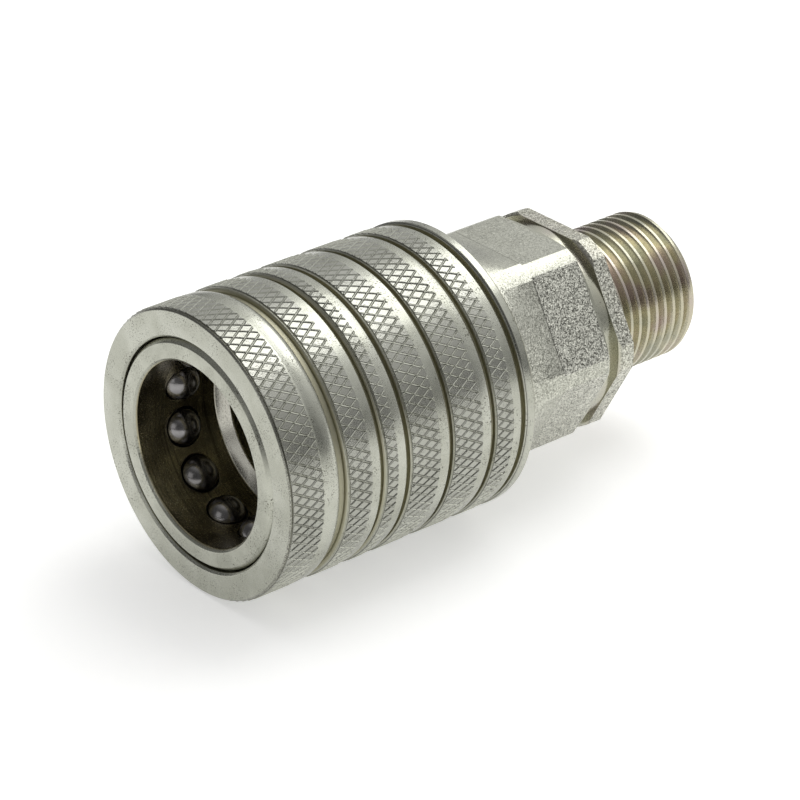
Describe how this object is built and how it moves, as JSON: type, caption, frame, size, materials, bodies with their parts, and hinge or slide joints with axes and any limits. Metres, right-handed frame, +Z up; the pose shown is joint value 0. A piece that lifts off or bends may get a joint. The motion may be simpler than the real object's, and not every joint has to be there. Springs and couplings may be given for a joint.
{
  "type": "quick disconnect coupler",
  "caption": "Ball-lock quick disconnect coupler with a knurled pull-back sleeve, poppet valve, hex body and a male threaded end.",
  "frame": {"origin": "on the coupler's axis, halfway between the mouth and the end of the male thread", "axes": "+X along the axis from the mouth to the thread, +Z up out of one wrench flat"},
  "size_m": [0.076, 0.0378, 0.0378],
  "materials": {
    "zinc_sleeve": "satin zinc plated, knurled",
    "cage_steel": "turned, oiled",
    "adapter_steel": "blasted flats, passivated thread",
    "ball_steel": "polished",
    "spring_steel": "drawn wire",
    "guide_bronze": "turned bronze",
    "poppet_steel": "turned, zinc plated",
    "seal_rubber": "moulded nitrile",
    "backup_ptfe": "turned PTFE"
  },
  "bodies": {
    "valve_body": {"ball_cage": "cage_steel", "hex_adapter": "adapter_steel", "adapter_o_ring": "seal_rubber", "nose_o_ring": "seal_rubber", "nose_backup_ring": "backup_ptfe", "poppet_guide": "poppet_steel", "sleeve_spring": "spring_steel", "poppet_spring": "spring_steel"},
    "thrust_washer": {"spring_thrust_washer": "spring_steel"},
    "sleeve": {"outer_sleeve": "zinc_sleeve", "sleeve_guide_ring": "guide_bronze", "sleeve_snap_ring": "spring_steel"},
    "poppet": {"valve_poppet": "poppet_steel", "poppet_seal": "seal_rubber"},
    "ball_01": {"locking_ball_01": "ball_steel"},
    "ball_02": {"locking_ball_02": "ball_steel"},
    "ball_03": {"locking_ball_03": "ball_steel"},
    "ball_04": {"locking_ball_04": "ball_steel"},
    "ball_05": {"locking_ball_05": "ball_steel"},
    "ball_06": {"locking_ball_06": "ball_steel"},
    "ball_07": {"locking_ball_07": "ball_steel"},
    "ball_08": {"locking_ball_08": "ball_steel"},
    "ball_09": {"locking_ball_09": "ball_steel"},
    "ball_10": {"locking_ball_10": "ball_steel"},
    "ball_11": {"locking_ball_11": "ball_steel"},
    "ball_12": {"locking_ball_12": "ball_steel"}
  },
  "joints": [
    {"name": "sleeve_slide", "type": "slide", "parent": "valve_body", "child": "thrust_washer", "axis": [1, 0, 0], "range_m": [0, 0.0034], "stiffness_N_per_m": 3000, "springref_m": -0.006, "deforming": ["sleeve_spring"]},
    {"name": "sleeve_spin", "type": "hinge", "parent": "thrust_washer", "child": "sleeve", "pos_m": [-0.018, 0, 0], "axis": [1, 0, 0], "continuous": true},
    {"name": "poppet_slide", "type": "slide", "parent": "valve_body", "child": "poppet", "axis": [1, 0, 0], "range_m": [0, 0.006], "stiffness_N_per_m": 1500, "springref_m": -0.008, "deforming": ["poppet_spring"]},
    {"name": "ball_01_slide", "type": "slide", "parent": "valve_body", "child": "ball_01", "axis": [0, -0.2588, 0.9659], "range_m": [0, 0.0018]},
    {"name": "ball_02_slide", "type": "slide", "parent": "valve_body", "child": "ball_02", "axis": [0, -0.7071, 0.7071], "range_m": [0, 0.0018]},
    {"name": "ball_03_slide", "type": "slide", "parent": "valve_body", "child": "ball_03", "axis": [0, -0.9659, 0.2588], "range_m": [0, 0.0018]},
    {"name": "ball_04_slide", "type": "slide", "parent": "valve_body", "child": "ball_04", "axis": [0, -0.9659, -0.2588], "range_m": [0, 0.0018]},
    {"name": "ball_05_slide", "type": "slide", "parent": "valve_body", "child": "ball_05", "axis": [0, -0.7071, -0.7071], "range_m": [0, 0.0018]},
    {"name": "ball_06_slide", "type": "slide", "parent": "valve_body", "child": "ball_06", "axis": [0, -0.2588, -0.9659], "range_m": [0, 0.0018]},
    {"name": "ball_07_slide", "type": "slide", "parent": "valve_body", "child": "ball_07", "axis": [0, 0.2588, -0.9659], "range_m": [0, 0.0018]},
    {"name": "ball_08_slide", "type": "slide", "parent": "valve_body", "child": "ball_08", "axis": [0, 0.7071, -0.7071], "range_m": [0, 0.0018]},
    {"name": "ball_09_slide", "type": "slide", "parent": "valve_body", "child": "ball_09", "axis": [0, 0.9659, -0.2588], "range_m": [0, 0.0018]},
    {"name": "ball_10_slide", "type": "slide", "parent": "valve_body", "child": "ball_10", "axis": [0, 0.9659, 0.2588], "range_m": [0, 0.0018]},
    {"name": "ball_11_slide", "type": "slide", "parent": "valve_body", "child": "ball_11", "axis": [0, 0.7071, 0.7071], "range_m": [0, 0.0018]},
    {"name": "ball_12_slide", "type": "slide", "parent": "valve_body", "child": "ball_12", "axis": [0, 0.2588, 0.9659], "range_m": [0, 0.0018]}
  ],
  "couplings": [
    {"joint": "ball_01_slide", "follows": "sleeve_slide", "ratio": 0.529},
    {"joint": "ball_02_slide", "follows": "sleeve_slide", "ratio": 0.529},
    {"joint": "ball_03_slide", "follows": "sleeve_slide", "ratio": 0.529},
    {"joint": "ball_04_slide", "follows": "sleeve_slide", "ratio": 0.529},
    {"joint": "ball_05_slide", "follows": "sleeve_slide", "ratio": 0.529},
    {"joint": "ball_06_slide", "follows": "sleeve_slide", "ratio": 0.529},
    {"joint": "ball_07_slide", "follows": "sleeve_slide", "ratio": 0.529},
    {"joint": "ball_08_slide", "follows": "sleeve_slide", "ratio": 0.529},
    {"joint": "ball_09_slide", "follows": "sleeve_slide", "ratio": 0.529},
    {"joint": "ball_10_slide", "follows": "sleeve_slide", "ratio": 0.529},
    {"joint": "ball_11_slide", "follows": "sleeve_slide", "ratio": 0.529},
    {"joint": "ball_12_slide", "follows": "sleeve_slide", "ratio": 0.529}
  ]
}
